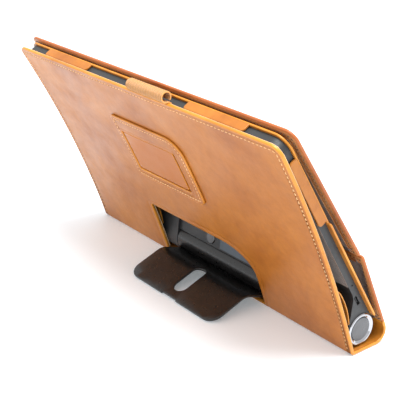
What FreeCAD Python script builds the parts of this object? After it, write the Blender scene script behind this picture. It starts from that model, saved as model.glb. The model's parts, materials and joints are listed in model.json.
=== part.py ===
import FreeCAD, Part
import math
import os

# A slim tablet with a barrel along its bottom edge and a fold-out kickstand, in a leather folio.
# Every piece is drawn in the tablet's own axes (X across, Y from screen to back, Z up the slab)
# and then leaned back as one, so that the case stands on its spine and on the kickstand.

Vector = FreeCAD.Vector
ORIGIN = Vector(0, 0, 0)
AXIS_X = Vector(1, 0, 0)
AXIS_Y = Vector(0, 1, 0)
AXIS_Z = Vector(0, 0, 1)

doc = FreeCAD.newDocument("FolioTablet")
sheet = doc.addObject("Spreadsheet::Sheet", "Dims")

DIMENSIONS = {
    # case
    "case_width": 268, "case_height": 165, "case_radius": 7,
    "board": 2.1, "lining": 0.5, "cover_thick": 2.5, "lean_angle": 30.5, "floor_drop": 8.3,
    # tablet slab and barrel
    "tablet_width": 260, "tablet_top": 162, "front": 1.0, "slab": 5.0, "slab_radius": 8,
    "barrel_radius": 10.5, "barrel_back": 11.5, "barrel_up": 12.6,
    "blend_radius": 10, "blend_slope": 38,
    "bore_radius": 6.9, "cell_radius": 6.7, "cell_length": 60, "cell_gap": 2,
    # screen
    "glass_width": 250, "glass_height": 133.4, "glass_thick": 0.8, "glass_bottom": 25.3,
    "panel_width": 224, "panel_height": 122, "panel_thick": 0.95, "panel_bottom": 28,
    # kickstand
    "stand_width": 92, "stand_centre": -8, "stand_length": 54, "stand_thick": 1.8,
    "stand_gap": 0.3, "hanging_slot_width": 11, "hanging_slot_length": 25,
    # barrel ends
    "ring_length": 1.0, "ring_inner": 7.6, "power_radius": 7.45, "power_thick": 2.4,
    "jack_bore": 1.8, "jack_depth": 14, "jack_wall": 1.4,
    # buttons
    "release_radius": 4.2, "release_height": 1.8, "rocker_length": 18, "rocker_width": 1.6,
    # case details
    "cutout_width": 106, "cutout_centre": -3, "cutout_top": 49, "flap_top": 70,
    "holder_wall": 1.5, "bezel_thick": 1.4, "bezel_width": 9, "top_opening": 102,
    "patch_width": 73, "patch_height": 53, "patch_centre": 7.5, "patch_bottom": 79,
    "patch_thick": 1.5, "tongue_width": 54, "tongue_height": 31, "tongue_centre": 10,
    "tongue_bottom": 88, "tongue_thick": 1.1,
    "loop_length": 36, "loop_centre": -23, "loop_radius": 3.7, "loop_wall": 0.7,
    "magnet_radius": 4, "magnet_thick": 1.0,
}
for row, (alias, value) in enumerate(DIMENSIONS.items(), start=1):
    sheet.set("A%d" % row, alias)
    sheet.set("B%d" % row, str(value))
    sheet.setAlias("B%d" % row, alias)
doc.recompute()


def dim(alias):
    """A driving dimension, read from the sheet."""
    return float(getattr(sheet, alias))


LEAN = FreeCAD.Placement(Vector(0, 0, dim("floor_drop")),
                         FreeCAD.Rotation(AXIS_X, -dim("lean_angle")))
BARREL = Vector(0, dim("barrel_back"), dim("barrel_up"))
FRONT = dim("front")
BACK = FRONT + dim("slab")
nodes = []


def leaned(local=None):
    """The lean of the whole object, after a piece's own local placement."""
    return LEAN.multiply(local) if local else LEAN


def keep(obj, label, local=None):
    """Name a finished sub-part, lean it and list it for export."""
    obj.Label = label
    obj.Placement = leaned(local)
    nodes.append(obj)
    return obj


# ---------------------------------------------------------------- helpers for bodies and sketches

def polar(centre, radius, degrees):
    """A point of the side view (Y, Z) at an angle measured from straight back, upwards."""
    angle = math.radians(degrees)
    return Vector(0, centre.y + radius * math.cos(angle), centre.z + radius * math.sin(angle))


def flat(point):
    """A side-view point as sketch coordinates."""
    return Vector(point.y, point.z, 0)


def side(y, z):
    return Vector(0, y, z)


def line(start, end):
    return Part.LineSegment(start, end)


def arc(start, middle, end):
    return Part.Arc(start, middle, end)


def plane_of(body, role):
    return next(f for f in body.Origin.OriginFeatures if f.Role == role)


def add_sketch(body, name, role, geometry):
    """A sketch of ready geometry on one of the body's own origin planes."""
    sketch = body.newObject("Sketcher::SketchObject", name)
    sketch.AttachmentSupport = [(plane_of(body, role), "")]
    sketch.MapMode = "FlatFace"
    sketch.addGeometry(geometry, False)
    return sketch


def side_geometry(segments):
    """Side-view segments (lines, arcs, splines) moved into the plane of a side sketch."""
    moved = []
    for item in segments:
        copy = item.copy()
        copy.transform(FreeCAD.Placement(ORIGIN, FreeCAD.Rotation(0.5, 0.5, 0.5, -0.5)).toMatrix())
        moved.append(copy)
    return moved


def new_body(name):
    return doc.addObject("PartDesign::Body", name)


def pad_across(body, name, segments, width_expression):
    """Pad a side-view outline evenly across X, by a width from the sheet."""
    sketch = add_sketch(body, name + "Sketch", "YZ_Plane", side_geometry(segments))
    pad = body.newObject("PartDesign::Pad", name)
    pad.Profile = sketch
    pad.setExpression("Length", width_expression)
    pad.Midplane = True
    doc.recompute()
    return pad


def rounded_rectangle(x0, x1, z0, z1, radius):
    """A closed outline in the front view, with round corners, as sketch geometry."""
    corner = radius * (1 - math.sqrt(0.5))
    return [line(Vector(x0, z0 + radius, 0), Vector(x0, z1 - radius, 0)),
            arc(Vector(x0, z1 - radius, 0), Vector(x0 + corner, z1 - corner, 0),
                Vector(x0 + radius, z1, 0)),
            line(Vector(x0 + radius, z1, 0), Vector(x1 - radius, z1, 0)),
            arc(Vector(x1 - radius, z1, 0), Vector(x1 - corner, z1 - corner, 0),
                Vector(x1, z1 - radius, 0)),
            line(Vector(x1, z1 - radius, 0), Vector(x1, z0 + radius, 0)),
            arc(Vector(x1, z0 + radius, 0), Vector(x1 - corner, z0 + corner, 0),
                Vector(x1 - radius, z0, 0)),
            line(Vector(x1 - radius, z0, 0), Vector(x0 + radius, z0, 0)),
            arc(Vector(x0 + radius, z0, 0), Vector(x0 + corner, z0 + corner, 0),
                Vector(x0, z0 + radius, 0))]


def plain_rectangle(x0, x1, z0, z1):
    corners = [Vector(x0, z0, 0), Vector(x1, z0, 0), Vector(x1, z1, 0), Vector(x0, z1, 0)]
    return [line(corners[i], corners[(i + 1) % 4]) for i in range(4)]


def cut_through(body, name, geometry):
    """Cut a front-view outline through the whole body and check that it removed something."""
    before = body.Shape.Volume
    sketch = add_sketch(body, name + "Sketch", "XZ_Plane", geometry)
    pocket = body.newObject("PartDesign::Pocket", name)
    pocket.Profile = sketch
    pocket.Type = "ThroughAll"
    pocket.Midplane = True
    doc.recompute()
    if not body.Shape.Volume < before - 1e-3:
        raise RuntimeError(name + " cut nothing")
    return pocket


def trim_corners(body, name, half_width, top, radius):
    """Round the two top corners of a sheet seen from the front."""
    for sign, tag in ((1, "Left"), (-1, "Right")):
        outer = Vector(sign * (half_width + 1), top + 1, 0)
        inner_top = Vector(sign * (half_width - radius), top + 1, 0)
        arc_top = Vector(sign * (half_width - radius), top, 0)
        corner = radius * (1 - math.sqrt(0.5))
        arc_mid = Vector(sign * (half_width - corner), top - corner, 0)
        arc_side = Vector(sign * half_width, top - radius, 0)
        outer_side = Vector(sign * (half_width + 1), top - radius, 0)
        cut_through(body, name + tag, [line(outer, inner_top), line(inner_top, arc_top),
                                       arc(arc_top, arc_mid, arc_side),
                                       line(arc_side, outer_side), line(outer_side, outer)])


def box(label, expressions, corner):
    """A Part box with its sizes bound to the sheet; corner is its low corner."""
    item = doc.addObject("Part::Box", label + "Box")
    for name, expression in zip(("Length", "Width", "Height"), expressions):
        item.setExpression(name, expression)
    doc.recompute()
    return keep(item, label, FreeCAD.Placement(corner, FreeCAD.Rotation()))


def cylinder_across(label, radius, length, start_x, centre):
    """A Part cylinder along X, with its sizes bound to the sheet."""
    item = doc.addObject("Part::Cylinder", label + "Cylinder")
    item.setExpression("Radius", radius)
    item.setExpression("Height", length)
    doc.recompute()
    place = FreeCAD.Placement(Vector(start_x, centre.y, centre.z),
                              FreeCAD.Rotation(AXIS_Z, AXIS_X))
    return keep(item, label, place)


def solid_across(segments, x0, x1):
    """A plain solid: a side-view outline drawn from x0 to x1."""
    wire = Part.Wire([item.toShape() for item in segments])
    wire.translate(Vector(x0, 0, 0))
    return Part.Face(wire).extrude(Vector(x1 - x0, 0, 0))


def box_shape(x0, x1, y0, y1, z0, z1):
    return Part.makeBox(x1 - x0, y1 - y0, z1 - z0, Vector(x0, y0, z0))


def rod(radius, start, direction, length):
    return Part.makeCylinder(radius, length, start, direction)


def feature(label, shape, local=None):
    """A sub-part whose shape is set directly, for forms that neither sketches nor primitives fit."""
    item = doc.addObject("Part::Feature", label + "Shape")
    item.Shape = shape.removeSplitter()
    return keep(item, label, local)


# ---------------------------------------------------------------- the tablet's side view

def barrel_touch(inset):
    """Where the straight slope behind the barrel meets it, moved in by inset."""
    return polar(BARREL, dim("barrel_radius") - inset, TOUCH)


def blend_centre():
    """Centre of the hollow bend between the slab's back and the slope down to the barrel."""
    slope = math.radians(TOUCH)
    touch = barrel_touch(0)
    corner = touch.z + (touch.y - BACK) / math.tan(slope)
    return side(BACK + dim("blend_radius"), corner + dim("blend_radius") * math.tan(slope / 2))


def on_blend(inset, fraction):
    """A point of the hollow bend: fraction 0 is on the slab's back, 1 is on the slope."""
    return polar(BLEND, dim("blend_radius") + inset, 180 + TOUCH * fraction)


def on_slope(inset, fraction):
    """A point of the straight slope, from the bend (0) to the barrel (1)."""
    start = on_blend(inset, 1)
    return start + (barrel_touch(inset) - start) * fraction


TOUCH = dim("blend_slope")
BLEND = blend_centre()


def back_outline(inset, top):
    """Back of the body from the slab's top down to the barrel, moved in by inset."""
    return [line(side(BACK - inset, top), on_blend(inset, 0)),
            arc(on_blend(inset, 0), on_blend(inset, 0.5), on_blend(inset, 1)),
            line(on_blend(inset, 1), barrel_touch(inset))]


def body_outline(inset, top, front):
    """The closed side view of slab and barrel, with its back moved in by inset."""
    radius = dim("barrel_radius") - inset
    chin = polar(BARREL, radius, 180)
    under = polar(BARREL, radius, TOUCH / 2 - 90)
    items = back_outline(inset, top)
    items.append(arc(barrel_touch(inset), under, chin))
    if front < chin.y - 1e-6:
        items.append(line(chin, side(front, chin.z)))
    items.append(line(side(front, chin.z), side(front, top)))
    items.append(line(side(front, top), side(BACK - inset, top)))
    return items


STAND_LEFT = dim("stand_centre") + dim("stand_width") / 2
STAND_RIGHT = dim("stand_centre") - dim("stand_width") / 2
STAND_TOP = BARREL.z + dim("stand_length")
RECESS_INSET = dim("stand_thick") + dim("stand_gap")
CORE_RADIUS = dim("barrel_radius") - RECESS_INSET
COLLAR_LENGTH = 4.0
COLLAR_INNER = 7.65
HALF_TABLET = dim("tablet_width") / 2
PORT = side(5.0, 33.0)
PORT_LENGTH = 7.6
PORT_WIDTH = 2.6
PORT_DEPTH = 5.5
ROCKER_BOTTOM = 60.0
ROCKER_FRONT = 3.0


BOARD_POCKET_HALF = 122.0
SHEET_LOW = 47.0
SIDE_WALL_LOW = 100.0
SIDE_WALL_TOP = 149.0
END_SEAT = 5.0
SEAT_CUT = END_SEAT + 1
COLLAR_SLOT = 9.0
MICROPHONE = side(3.4, 45.5)
RELEASE_X = 4.0
RELEASE_SPOT = on_slope(RECESS_INSET, 0.36) + Vector(RELEASE_X, 0, 0)
RELEASE_FACING = side(math.cos(math.radians(TOUCH)), math.sin(math.radians(TOUCH)))


def stand_zone(inset_gap, x_gap, top_gap):
    """The layer of the body, back of the recess floor, that the kickstand takes up when closed."""
    x0 = STAND_RIGHT - x_gap
    x1 = STAND_LEFT + x_gap
    far = BACK + 60
    floor = body_outline(inset_gap, STAND_TOP + top_gap, FRONT)
    keep_part = solid_across(floor, x0 - 1, x1 + 1)
    zone = box_shape(x0, x1, FRONT + inset_gap, far, -5, STAND_TOP + top_gap)
    return zone.cut(keep_part)


def housing_cuts():
    """Everything that is hollowed out of the rear housing, as one list of tools."""
    end = HALF_TABLET
    start = Vector(-end - 1, BARREL.y, BARREL.z)
    tools = [stand_zone(RECESS_INSET, dim("stand_gap"), 0.4)]
    # the ring that the kickstand's sleeve turns in, under the recess floor and the chin
    tools.append(solid_across(barrel_sector(SLEEVE_RADIUS + SLEEVE_GAP, CORE_RADIUS, TOUCH - 20,
                                            SLEEVE_END + 3),
                              STAND_RIGHT - dim("stand_gap"), STAND_LEFT + dim("stand_gap")))
    # ring slots for the two hinge collars
    for low_x in (STAND_RIGHT, STAND_LEFT - COLLAR_LENGTH):
        centre = Vector(low_x - 0.2, BARREL.y, BARREL.z)
        core = rod(COLLAR_INNER - 0.05, centre, AXIS_X, COLLAR_LENGTH + 0.4)
        tools.append(rod(COLLAR_SLOT, centre, AXIS_X, COLLAR_LENGTH + 0.4).cut(core))
    # screen opening, and pockets for boards above and beside the recess
    screen_half = dim("glass_width") / 2 + 0.4
    low = dim("glass_bottom") - 0.3
    high = dim("glass_bottom") + dim("glass_height") + 0.3
    deep = BACK - 1.2
    tools.append(box_shape(-screen_half, screen_half, FRONT - 1, SCREEN_FLOOR, low, high))
    tools.append(box_shape(-BOARD_POCKET_HALF, BOARD_POCKET_HALF, SCREEN_FLOOR - 0.1, deep,
                           STAND_TOP + 4, high - 2))
    for x0, x1 in ((-BOARD_POCKET_HALF, STAND_RIGHT - 3), (STAND_LEFT + 3, BOARD_POCKET_HALF)):
        tools.append(box_shape(x0, x1, SCREEN_FLOOR - 0.1, deep, SHEET_LOW, STAND_TOP + 4.1))
    # bore for the cells, with wider seats for the pieces at its ends
    tools.append(rod(dim("bore_radius"), start, AXIS_X, 2 * end + 2))
    seat_start = Vector(end - END_SEAT, BARREL.y, BARREL.z)
    tools.append(rod(dim("ring_inner"), start, AXIS_X, SEAT_CUT))
    tools.append(rod(dim("ring_inner"), seat_start, AXIS_X, SEAT_CUT))
    # USB opening, microphone hole and the seat of the volume rocker
    tools.append(box_shape(-end - 1, -end + PORT_DEPTH + 0.5,
                           PORT.y - PORT_WIDTH / 2, PORT.y + PORT_WIDTH / 2,
                           PORT.z - PORT_LENGTH / 2, PORT.z + PORT_LENGTH / 2))
    tools.append(rod(0.6, MICROPHONE - Vector(end + 1, 0, 0), AXIS_X, 4))
    rocker = dim("rocker_width")
    tools.append(box_shape(end - 2.5, end + 1, ROCKER_FRONT - 0.1, ROCKER_FRONT + rocker + 0.1,
                           ROCKER_BOTTOM - 0.1, ROCKER_BOTTOM + dim("rocker_length") + 0.1))
    # blind hole of the release button, and the shallow seat of the blank plate beside it
    tools.append(rod(dim("release_radius") + 0.15, RELEASE_SPOT - RELEASE_FACING * RELEASE_DEPTH,
                     RELEASE_FACING, RELEASE_DEPTH + 3))
    tools.append(plate_shape())
    return tools


def plate_shape():
    """The blank plate let into the recess floor beside the release button."""
    corners = [on_slope(RECESS_INSET, 0.1), on_slope(RECESS_INSET, PLATE_END),
               on_slope(RECESS_INSET + PLATE_THICK, PLATE_END),
               on_slope(RECESS_INSET + PLATE_THICK, 0.1)]
    outline = [line(corners[i], corners[(i + 1) % 4]) for i in range(4)]
    return solid_across(outline, STAND_RIGHT + 7, RELEASE_X - 10)


def cut_node(label, body, tools, local=None):
    """A padded body with ready tools cut out of it."""
    tool = doc.addObject("Part::Feature", label + "Tools")
    tool.Shape = tools[0].multiFuse(tools[1:]) if len(tools) > 1 else tools[0]
    cut = doc.addObject("Part::Cut", label + "Cut")
    cut.Base = body
    cut.Tool = tool
    doc.recompute()
    return keep(cut, label, local)


def build_housing():
    body = new_body("RearHousing")
    pad_across(body, "Shell", body_outline(0, dim("tablet_top"), FRONT), "Dims.tablet_width")
    trim_corners(body, "SlabCorner", HALF_TABLET, dim("tablet_top"), dim("slab_radius"))
    cut_node("rear_housing", body, housing_cuts())


def barrel_sector(far, near, start, end):
    """Side view of part of a ring round the barrel's axis, between two angles."""
    middle = (start + end) / 2
    return [arc(polar(BARREL, far, start), polar(BARREL, far, middle), polar(BARREL, far, end)),
            line(polar(BARREL, far, end), polar(BARREL, near, end)),
            arc(polar(BARREL, near, end), polar(BARREL, near, middle),
                polar(BARREL, near, start)),
            line(polar(BARREL, near, start), polar(BARREL, far, start))]


def build_kickstand():
    """A bent metal sheet: flat at its far edge, then a slope, ending in a sleeve on the barrel.

    It is drawn shut and swung open; a shallow pocket inside clears the release button."""
    body = new_body("Kickstand")
    outer = dim("barrel_radius")
    thick = dim("stand_thick")
    mid_wrap = (TOUCH + STAND_WRAP) / 2
    end = polar(BARREL, outer, STAND_WRAP)
    in_end = polar(BARREL, outer - thick, STAND_WRAP)
    tip = side(BACK, STAND_TOP)
    in_tip = side(BACK - thick, STAND_TOP)
    pad_across(body, "Plate", back_outline(0, STAND_TOP) + [
        arc(barrel_touch(0), polar(BARREL, outer, mid_wrap), end),
        line(end, in_end),
        arc(in_end, polar(BARREL, outer - thick, mid_wrap), barrel_touch(thick))]
        + back_outline(thick, STAND_TOP) + [line(in_tip, tip)], "Dims.stand_width")
    pad_across(body, "Sleeve", barrel_sector(SLEEVE_RADIUS, outer - thick, TOUCH - 15, SLEEVE_END),
               "Dims.stand_width")
    trim_corners(body, "PlateCorner", dim("stand_width") / 2, STAND_TOP, 9.0)
    half = dim("hanging_slot_width") / 2
    top = STAND_TOP - 7.0
    cut_through(body, "HangingHole", rounded_rectangle(
        -half, half, top - dim("hanging_slot_length"), top, half - 0.01))
    cut_through(body, "FingerNotch", rounded_rectangle(-8, 8, STAND_TOP - 0.9, STAND_TOP + 2, 0.8))
    button = RELEASE_SPOT - Vector(dim("stand_centre"), 0, 0)
    pocket = rod(dim("release_radius") + POCKET_GAP, button, RELEASE_FACING,
                 RELEASE_PROUD + POCKET_DEPTH_GAP)
    cut_node("kickstand", body, [pocket], SWUNG.multiply(FreeCAD.Placement(
        Vector(dim("stand_centre"), 0, 0), FreeCAD.Rotation())))


def build_collars():
    """Two rings inside the kickstand's wrap, turning in ring slots of the barrel."""
    rings = []
    for low_x in (STAND_RIGHT, STAND_LEFT - COLLAR_LENGTH):
        centre = Vector(low_x, BARREL.y, BARREL.z)
        outer = rod(dim("barrel_radius") - dim("stand_thick"), centre, AXIS_X, COLLAR_LENGTH)
        rings.append(outer.cut(rod(COLLAR_INNER, centre, AXIS_X, COLLAR_LENGTH)))
    feature("hinge_collars", Part.makeCompound(rings), SWUNG)


def build_screen():
    half = dim("glass_width") / 2
    box("display_glass", ("Dims.glass_width", "Dims.glass_thick", "Dims.glass_height"),
        Vector(-half, FRONT, dim("glass_bottom")))
    box("display_panel", ("Dims.panel_width", "Dims.panel_thick", "Dims.panel_height"),
        Vector(-dim("panel_width") / 2, FRONT + dim("glass_thick") + 0.05, dim("panel_bottom")))


def build_electronics():
    board_z = STAND_TOP + 30
    board = box_shape(-110, 40, SCREEN_FLOOR + 0.9, SCREEN_FLOOR + 1.7, board_z, board_z + 46)
    chips = [box_shape(x, x + 14, SCREEN_FLOOR + 0.1, SCREEN_FLOOR + 0.9, board_z + 16, board_z + 30)
             for x in (-95, -60, -20, 12)]
    feature("main_board", board.multiFuse(chips))
    camera_x = Vector(70, SCREEN_FLOOR - 0.05, dim("panel_bottom") + dim("panel_height") + 4.2)
    feature("front_camera", rod(2.6, camera_x, AXIS_Y, 1.8))
    pitch = dim("cell_length") + dim("cell_gap")
    for name, step in (("battery_cell_right", -1), ("battery_cell_centre", 0),
                       ("battery_cell_left", 1)):
        cylinder_across(name, "Dims.cell_radius", "Dims.cell_length",
                        step * pitch - dim("cell_length") / 2, BARREL)
    for name, low_x in (("speaker_right", -118), ("speaker_left", 96)):
        centre = Vector(low_x, BARREL.y, BARREL.z)
        body = rod(dim("cell_radius"), centre, AXIS_X, 16)
        feature(name, body.cut(rod(dim("cell_radius") - 1.2, centre, AXIS_X, 13)))


def ring_shape(outward):
    """A polished ring on the end of the barrel, its mouth opened by a chamfer."""
    face_x = HALF_TABLET + dim("ring_length")
    outer = dim("barrel_radius") - 0.15
    inner = dim("ring_inner")
    points = [Vector(HALF_TABLET, inner, 0), Vector(HALF_TABLET, outer, 0),
              Vector(face_x - 0.4, outer, 0), Vector(face_x, outer - 0.6, 0),
              Vector(face_x, inner + 1.3, 0), Vector(face_x - 0.9, inner, 0)]
    profile = Part.Face(Part.makePolygon(points + [points[0]]))
    ring = profile.revolve(ORIGIN, AXIS_X, 360)
    if outward < 0:
        ring = ring.mirror(ORIGIN, AXIS_X)
    ring.translate(Vector(0, BARREL.y, BARREL.z))
    return ring


def build_barrel_ends():
    feature("end_ring_right", ring_shape(-1))
    feature("end_ring_left", ring_shape(1))
    # power button with a guide stem, on a rubber spring against a seat
    face_x = -HALF_TABLET - 0.35
    cap = rod(dim("power_radius"), Vector(face_x, BARREL.y, BARREL.z), AXIS_X,
              dim("power_thick"))
    stem_x = face_x + dim("power_thick")
    stem = rod(1.2, Vector(stem_x, BARREL.y, BARREL.z), AXIS_X, 1.6)
    feature("power_button", cap.fuse(stem))
    seat_x = -HALF_TABLET + END_SEAT
    seat = rod(dim("bore_radius") - 0.05, Vector(seat_x, BARREL.y, BARREL.z), AXIS_X, 2)
    feature("power_switch", seat)
    feature("power_spring", spring_shape(2.6, seat_x - stem_x),
            FreeCAD.Placement(Vector(stem_x, BARREL.y, BARREL.z), FreeCAD.Rotation(AXIS_Z, AXIS_X)))
    # left end: cap with the headphone socket
    bore = dim("jack_bore")
    cap_x = HALF_TABLET - END_SEAT
    cap = rod(dim("ring_inner") - 0.05, Vector(cap_x, BARREL.y, BARREL.z), AXIS_X, 5.2)
    hole = rod(bore + dim("jack_wall"), Vector(cap_x - 1, BARREL.y, BARREL.z), AXIS_X, 7)
    feature("left_end_cap", cap.cut(hole))
    jack_x = HALF_TABLET + 0.2 - dim("jack_depth")
    socket = rod(bore + dim("jack_wall"), Vector(jack_x, BARREL.y, BARREL.z), AXIS_X,
                 dim("jack_depth"))
    plug_hole = rod(bore, Vector(jack_x - 1, BARREL.y, BARREL.z), AXIS_X, dim("jack_depth") + 2)
    feature("headphone_socket", socket.cut(plug_hole))


def spring_shape(radius, length):
    """A small elastic sleeve along Z that pushes a button back, as a rubber spring does."""
    return rod(radius, ORIGIN, AXIS_Z, length).cut(rod(radius - SPRING_WALL, ORIGIN, AXIS_Z, length))


def build_small_controls():
    outer = rod(dim("release_radius"), ORIGIN, AXIS_Z, dim("release_height"))
    outer = outer.makeChamfer(0.35, [max(outer.Edges, key=lambda edge: edge.BoundBox.ZMin)])
    turn = FreeCAD.Rotation(AXIS_Z, RELEASE_FACING)
    foot = RELEASE_SPOT - RELEASE_FACING * (dim("release_height") - RELEASE_PROUD)
    feature("release_button", outer, FreeCAD.Placement(foot, turn))
    depth = RELEASE_DEPTH - (dim("release_height") - RELEASE_PROUD)
    spring = spring_shape(2.4, depth)
    base = RELEASE_SPOT - RELEASE_FACING * RELEASE_DEPTH
    feature("release_spring", spring, FreeCAD.Placement(base, turn))
    rocker = rod(dim("rocker_width") / 2, ORIGIN, AXIS_X, 1.7)
    rocker.translate(Vector(HALF_TABLET - 1.2, ROCKER_FRONT + dim("rocker_width") / 2,
                            ROCKER_BOTTOM + dim("rocker_width") / 2))
    upper = rocker.translated(Vector(0, 0, dim("rocker_length") - dim("rocker_width")))
    middle = box_shape(HALF_TABLET - 1.2, HALF_TABLET + 0.5, ROCKER_FRONT,
                       ROCKER_FRONT + dim("rocker_width"),
                       ROCKER_BOTTOM + dim("rocker_width") / 2,
                       ROCKER_BOTTOM + dim("rocker_length") - dim("rocker_width") / 2)
    feature("volume_rocker", middle.multiFuse([rocker, upper]))
    shell = box_shape(-HALF_TABLET, -HALF_TABLET + PORT_DEPTH,
                      PORT.y - PORT_WIDTH / 2, PORT.y + PORT_WIDTH / 2,
                      PORT.z - PORT_LENGTH / 2, PORT.z + PORT_LENGTH / 2)
    mouth = box_shape(-HALF_TABLET - 1, -HALF_TABLET + PORT_DEPTH - 0.6,
                      PORT.y - PORT_WIDTH / 2 + 0.3, PORT.y + PORT_WIDTH / 2 - 0.3,
                      PORT.z - PORT_LENGTH / 2 + 0.3, PORT.z + PORT_LENGTH / 2 - 0.3)
    tongue = box_shape(-HALF_TABLET + 0.8, -HALF_TABLET + PORT_DEPTH - 0.3, PORT.y - 0.35,
                       PORT.y + 0.25, PORT.z - 2.6, PORT.z + 2.6)
    feature("usb_socket", shell.cut(mouth).fuse(tongue))
    feature("recess_plate", plate_shape())


# ---------------------------------------------------------------- the folio

def circle_of(first, second, third):
    """Centre and radius of the circle through three side-view points."""
    circle = Part.Arc(first, second, third).toShape().Curve
    return circle.Center, circle.Radius


PANEL_TOP = side(9.2, dim("case_height"))
PANEL_MIDDLE = side(14.2, 80)
PANEL_FOOT = side(26.5, 6.05)
PANEL, PANEL_RADIUS = circle_of(PANEL_TOP, PANEL_MIDDLE, PANEL_FOOT)


def on_panel(height, depth):
    """A side-view point of the bowed back panel, at a depth inside its outer face."""
    radius = PANEL_RADIUS + depth
    return side(PANEL.y - math.sqrt(radius ** 2 - (height - PANEL.z) ** 2), height)


def panel_sheet(low, high, outside, inside):
    """Side view of a sheet that follows the back panel, between two heights and two depths."""
    middle = (low + high) / 2
    return [arc(on_panel(high, outside), on_panel(middle, outside), on_panel(low, outside)),
            line(on_panel(low, outside), on_panel(low, inside)),
            arc(on_panel(low, inside), on_panel(middle, inside), on_panel(high, inside)),
            line(on_panel(high, inside), on_panel(high, outside))]


def cutout_outline():
    """The opening for the kickstand: open at the foot, with one round upper corner."""
    left = dim("cutout_centre") + dim("cutout_width") / 2
    right = dim("cutout_centre") - dim("cutout_width") / 2
    top = dim("cutout_top")
    corner = Vector(right + CORNER_IN * 0.27, top - CORNER_DOWN * 0.22, 0)
    return [line(Vector(left, -20, 0), Vector(left, top, 0)),
            line(Vector(left, top, 0), Vector(right + CORNER_IN, top, 0)),
            arc(Vector(right + CORNER_IN, top, 0), corner, Vector(right, top - CORNER_DOWN, 0)),
            line(Vector(right, top - CORNER_DOWN, 0), Vector(right, -20, 0)),
            line(Vector(right, -20, 0), Vector(left, -20, 0))]


def flap_zone():
    """The rectangle of panel, from the foot up to the flap's top, that the flap is cut from."""
    left = dim("cutout_centre") + dim("cutout_width") / 2
    right = dim("cutout_centre") - dim("cutout_width") / 2
    return plain_rectangle(right, left, -20, dim("flap_top"))


def build_back():
    """The bowed back panel and its lining; above the opening a flap bends for the stand."""
    half = dim("case_width") / 2
    top = dim("case_height")
    body = new_body("BackPanel")
    pad_across(body, "Board", panel_sheet(PANEL_FOOT.z, top, 0, dim("board")), "Dims.case_width")
    trim_corners(body, "PanelCorner", half, top, dim("case_radius"))
    cut_through(body, "StandCutout", flap_zone())
    keep(body, "back_panel")

    lining = new_body("BackLining")
    depth = dim("board") + dim("lining")
    pad_across(lining, "Cloth", panel_sheet(PANEL_FOOT.z + 2, top - 1, dim("board"), depth),
               "Dims.case_width - 2")
    trim_corners(lining, "LiningCorner", half - 1, top - 1, dim("case_radius") - 1)
    cut_through(lining, "LiningCutout", flap_zone())
    keep(lining, "back_lining")

    flap = new_body("StandFlap")
    low = dim("cutout_top") - CORNER_DOWN
    pad_across(flap, "Leather", panel_sheet(low, dim("flap_top"), 0, depth), "Dims.cutout_width")
    outline = cutout_outline()
    for item in outline:
        item.translate(Vector(-dim("cutout_centre"), 0, 0))
    cut_through(flap, "FlapCutout", outline)
    keep(flap, "stand_flap", FreeCAD.Placement(
        Vector(dim("cutout_centre"), 0, 0), FreeCAD.Rotation()))


def build_patch():
    """The raised patch, cut away round a tongue that a hand slips behind."""
    low = dim("patch_bottom")
    high = low + dim("patch_height")
    half = dim("patch_width") / 2
    patch = new_body("HandStrapPatch")
    pad_across(patch, "Patch", panel_sheet(low, high, -dim("patch_thick"), 0), "Dims.patch_width")
    trim_corners(patch, "PatchCorner", half, high, 10.0)
    offset = dim("tongue_centre") - dim("patch_centre")
    side_slot = dim("tongue_width") / 2 + 1.2
    bottom = dim("tongue_bottom")
    top = bottom + dim("tongue_height")
    cut_through(patch, "TongueWindow", plain_rectangle(offset - side_slot, offset + side_slot,
                                                       bottom - 1.6, top))
    shift = FreeCAD.Placement(Vector(dim("patch_centre"), 0, 0), FreeCAD.Rotation())
    keep(patch, "hand_strap_patch", shift)
    tongue = new_body("HandStrapTongue")
    pad_across(tongue, "Tongue", panel_sheet(bottom, TONGUE_TOP, TONGUE_FACE, -TONGUE_GAP),
               "Dims.tongue_width")
    shift = FreeCAD.Placement(Vector(dim("tongue_centre"), 0, 0), FreeCAD.Rotation())
    keep(tongue, "hand_strap_tongue", shift)


def from_floor(forward, up):
    """A side-view point given by its place on the table, before the lean."""
    lean = math.radians(dim("lean_angle"))
    rise = up - dim("floor_drop")
    return side(forward * math.cos(lean) - rise * math.sin(lean),
                forward * math.sin(lean) + rise * math.cos(lean))


COVER_FOOT = side(-4.0, 5.0)
COVER_BEND = side(-10.2, 60.0)


def offset_point(start, end, distance, at_end=False):
    """A point beside a line, on the side of the tablet."""
    along = (end - start).normalize()
    across = Vector(0, along.z, -along.y)
    return (end if at_end else start) + across * distance


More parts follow.
